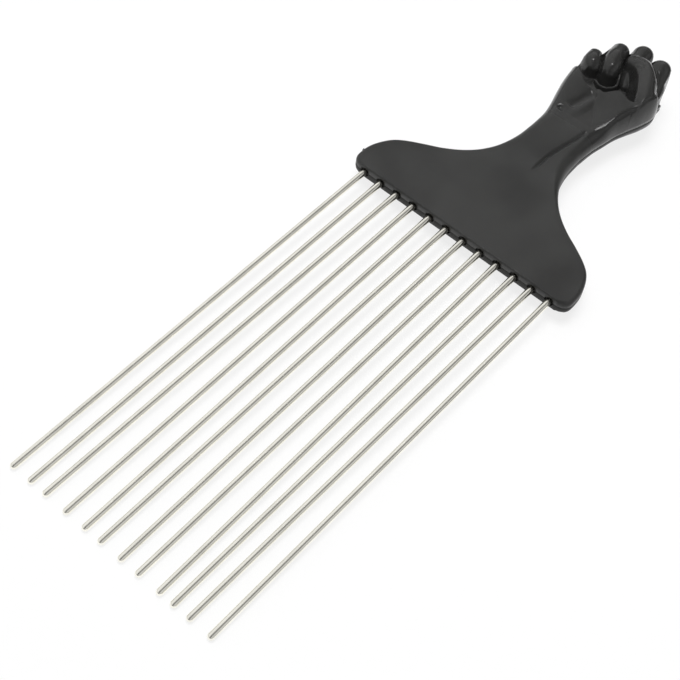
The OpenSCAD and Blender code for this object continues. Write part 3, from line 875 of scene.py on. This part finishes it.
class PICK_OT_front_shell(bpy.types.Operator):
    """Make the palm-side shell of the handle"""

    bl_idname = "pick.front_shell"
    bl_label = "Front shell"

    def execute(self, context):
        handle, tines, lying = sizes()
        bm = shell_mesh(handle, lying, handle.palm_skin, 1)
        gate_nib(handle, lying, bm)
        piece = add_piece("front_shell_skin", bm, material_named("moulded_plastic", moulded_plastic),
                          "handle_plastic", "front_shell")
        cut(piece, mouth_cutter(tines, lying))
        sharpen(piece, SHELL_SHARP)
        return {"FINISHED"}


class PICK_OT_back_shell(bpy.types.Operator):
    """Make the shell with the back of the hand"""

    bl_idname = "pick.back_shell"
    bl_label = "Back shell"

    def execute(self, context):
        handle, tines, lying = sizes()
        bm = shell_mesh(handle, lying, handle.back_skin, -1)
        piece = add_piece("back_shell_skin", bm, material_named("moulded_plastic", moulded_plastic),
                          "handle_plastic", "back_shell")
        cut(piece, mouth_cutter(tines, lying))
        sharpen(piece, SHELL_SHARP)
        return {"FINISHED"}


# Sides of a wire, and points of its profile over the dome.
TINE_SIDES = 28
DOME_STEPS = 7
# The chamfer at a tail's end and the run from round wire to flattened key, as shares of the wire's radius.
TAIL_CHAMFER_SHARE = 0.15
KEY_BLEND_SHARE = 0.4
# Vertices closer than this are merged.
MERGE_DISTANCE = 1e-7


def tine_mesh(tines, index):
    """One wire and its place in the flat comb. It is spun from its profile: a tail with a flattened key, a
    straight shank and a domed tip."""
    r = tines.diameter / 2
    chamfer = r * TAIL_CHAMFER_SHARE
    key_start = tines.key_back - tines.tail
    key_end = key_start + tines.key_len
    blend = r * KEY_BLEND_SHARE
    profile = [(0, -tines.tail), (r - chamfer, -tines.tail), (r, chamfer - tines.tail)]
    profile += [(r, key_start - blend), (r, key_start), (r, key_end), (r, key_end + blend), (r, 0)]
    centre = tines.reach - r
    turns = np.linspace(0, math.pi / 2, DOME_STEPS)
    profile += [(r * math.cos(a), centre + r * math.sin(a)) for a in turns]
    profile[-1] = (0, tines.reach)
    bm = bmesh.new()
    verts = [bm.verts.new((x, 0, z)) for x, z in profile]
    edges = [bm.edges.new(pair) for pair in zip(verts, verts[1:])]
    bmesh.ops.spin(bm, geom=verts + edges, cent=(0, 0, 0), axis=(0, 0, 1), angle=math.tau,
                   steps=TINE_SIDES, use_merge=True, dvec=(0, 0, 0))
    bmesh.ops.remove_doubles(bm, verts=bm.verts, dist=MERGE_DISTANCE)
    for vert in bm.verts:
        if key_start - blend / 2 < vert.co.z < key_end + blend / 2:
            vert.co.x *= tines.key_w / tines.diameter
            vert.co.y *= tines.key_t / tines.diameter
    smooth_outward(bm)
    lean = math.atan(TIP_DRIFT_SHARES[index % len(TIP_DRIFT_SHARES)] * tines.pitch / tines.reach)
    turned = Matrix.Rotation(lean, 4, "Z") @ Matrix.Rotation(math.pi / 2, 4, "X")
    return bm, root_place(tines, index) @ turned


class PICK_OT_tines(bpy.types.Operator):
    """Make the plated wire tines"""

    bl_idname = "pick.tines"
    bl_label = "Tines"

    def execute(self, context):
        _, tines, lying = sizes()
        steel = material_named("plated_steel", plated_steel)
        for index, node in enumerate(TINE_NAMES):
            bm, place = tine_mesh(tines, index)
            bmesh.ops.transform(bm, matrix=lying.matrix @ place, verts=bm.verts)
            piece = add_piece(node.replace("tine", "wire_tine"), bm, steel, "tine_steel", node)
            sharpen(piece, WIRE_SHARP)
        return {"FINISHED"}


class PICK_OT_stage(bpy.types.Operator):
    """Set up the table, the lights and the camera"""

    bl_idname = "pick.stage"
    bl_label = "Stage"

    def execute(self, context):
        settings = context.scene.pick_stage
        _, tines, lying = sizes()
        self.make_table(settings)
        self.light_room(settings)
        self.place_camera(tines, lying)
        context.scene.view_settings.view_transform = "Standard"
        return {"FINISHED"}

    def make_table(self, settings):
        bm = bmesh.new()
        bmesh.ops.create_grid(bm, x_segments=1, y_segments=1, size=TABLE_HALF)
        mesh = bpy.data.meshes.new("table")
        bm.to_mesh(mesh)
        bm.free()
        mesh.materials.append(table_top(tuple(settings.table)))
        table = bpy.data.objects.new("table", mesh)
        bpy.context.scene.collection.objects.link(table)

    def light_room(self, settings):
        """A bright ceiling with a dark gap along it, darker walls, a dark lens and the softboxes."""
        world = bpy.data.worlds.new("room")
        bpy.context.scene.world = world
        graph = Graph(world)
        across, along, up = graph.axes("Generated")
        near_side = across.ramp(*GAP_START, 1, GAP_SHADE)
        ceiling = near_side + across.ramp(*GAP_END, 0, FAR_CEILING_SHADE - GAP_SHADE)
        wall = WALL_SHADE + along.ramp(*WALL_TURN, FRONT_WALL_SHADE, 0)
        height = up.ramp(*WALL_HEIGHT) * (1 - wall) + wall
        lens = self.away_from_lens(across, along, up).ramp(*LENS_REACH, LENS_SHADE, 1)
        strength = ceiling * height * lens * settings.room
        sky = graph.node("ShaderNodeBackground", None, {"Color": (1, 1, 1, 1), "Strength": strength})
        graph.node("ShaderNodeOutputWorld", None, {"Surface": sky[0]})
        for name, place, size, power, mirrored, aim, beam in SOFTBOXES:
            soft = bpy.data.lights.new(name, "AREA")
            soft.shape = "RECTANGLE"
            soft.size, soft.size_y = size
            soft.energy = power * settings.key_power
            soft.spread = math.radians(beam)
            lamp = bpy.data.objects.new(name, soft)
            lamp.visible_glossy = mirrored
            lamp.location = place
            lamp.rotation_euler = (Vector(aim) - lamp.location).to_track_quat("-Z", "Y").to_euler()
            bpy.context.scene.collection.objects.link(lamp)

    def away_from_lens(self, across, along, up):
        """How far a direction in the room is from the lens over the tines' tips."""
        x, y, z = LENS_TOWARDS
        return 1 - (across * x + along * y + up * z)

    def place_camera(self, tines, lying):
        az, el, roll = (math.radians(a) for a in (VIEW_AZIMUTH, VIEW_ELEVATION, VIEW_ROLL))
        back = Vector((math.sin(az) * math.cos(el), -math.cos(az) * math.cos(el), math.sin(el)))
        right = Vector((math.cos(az), math.sin(az), 0))
        up = back.cross(right)
        rolled_right = right * math.cos(roll) + up * math.sin(roll)
        rolled_up = up * math.cos(roll) - right * math.sin(roll)
        turned = Matrix((rolled_right, rolled_up, back)).transposed()
        place = turned @ Vector((*VIEW_SHIFT, VIEW_DISTANCE)) * tines.pitch
        data = bpy.data.cameras.new("camera")
        data.sensor_width = SENSOR_MM
        data.lens = VIEW_FOCAL_PIXELS * SENSOR_MM / PHOTO_PIXELS
        data.clip_start = CLIP_START
        camera = bpy.data.objects.new("camera", data)
        camera.matrix_world = lying.matrix @ (Matrix.Translation(place) @ turned.to_4x4())
        bpy.context.scene.collection.objects.link(camera)
        bpy.context.scene.camera = camera


class PICK_PT_panel(bpy.types.Panel):
    """The pick's sizes, colours and pieces"""

    bl_idname = "PICK_PT_panel"
    bl_label = "Afro pick"
    bl_space_type = "VIEW_3D"
    bl_region_type = "UI"
    bl_category = "Afro pick"

    def draw(self, context):
        for group in (context.scene.pick_handle, context.scene.pick_tines, context.scene.pick_stage):
            box = self.layout.box()
            for name in group.__annotations__:
                box.prop(group, name)
        for operator in OPERATORS:
            self.layout.operator(operator.bl_idname)


OPERATORS = (PICK_OT_front_shell, PICK_OT_back_shell, PICK_OT_tines, PICK_OT_stage)
CLASSES = (HandleSettings, TineSettings, StageSettings, *OPERATORS, PICK_PT_panel)


def register():
    for item in CLASSES:
        bpy.utils.register_class(item)
    bpy.types.Scene.pick_handle = PointerProperty(type=HandleSettings)
    bpy.types.Scene.pick_tines = PointerProperty(type=TineSettings)
    bpy.types.Scene.pick_stage = PointerProperty(type=StageSettings)


def unregister():
    del bpy.types.Scene.pick_stage
    del bpy.types.Scene.pick_tines
    del bpy.types.Scene.pick_handle
    for item in reversed(CLASSES):
        bpy.utils.unregister_class(item)


def main():
    register()
    bpy.ops.pick.front_shell()
    bpy.ops.pick.back_shell()
    bpy.ops.pick.tines()
    bpy.ops.pick.stage()


if __name__ == "__main__":
    main()
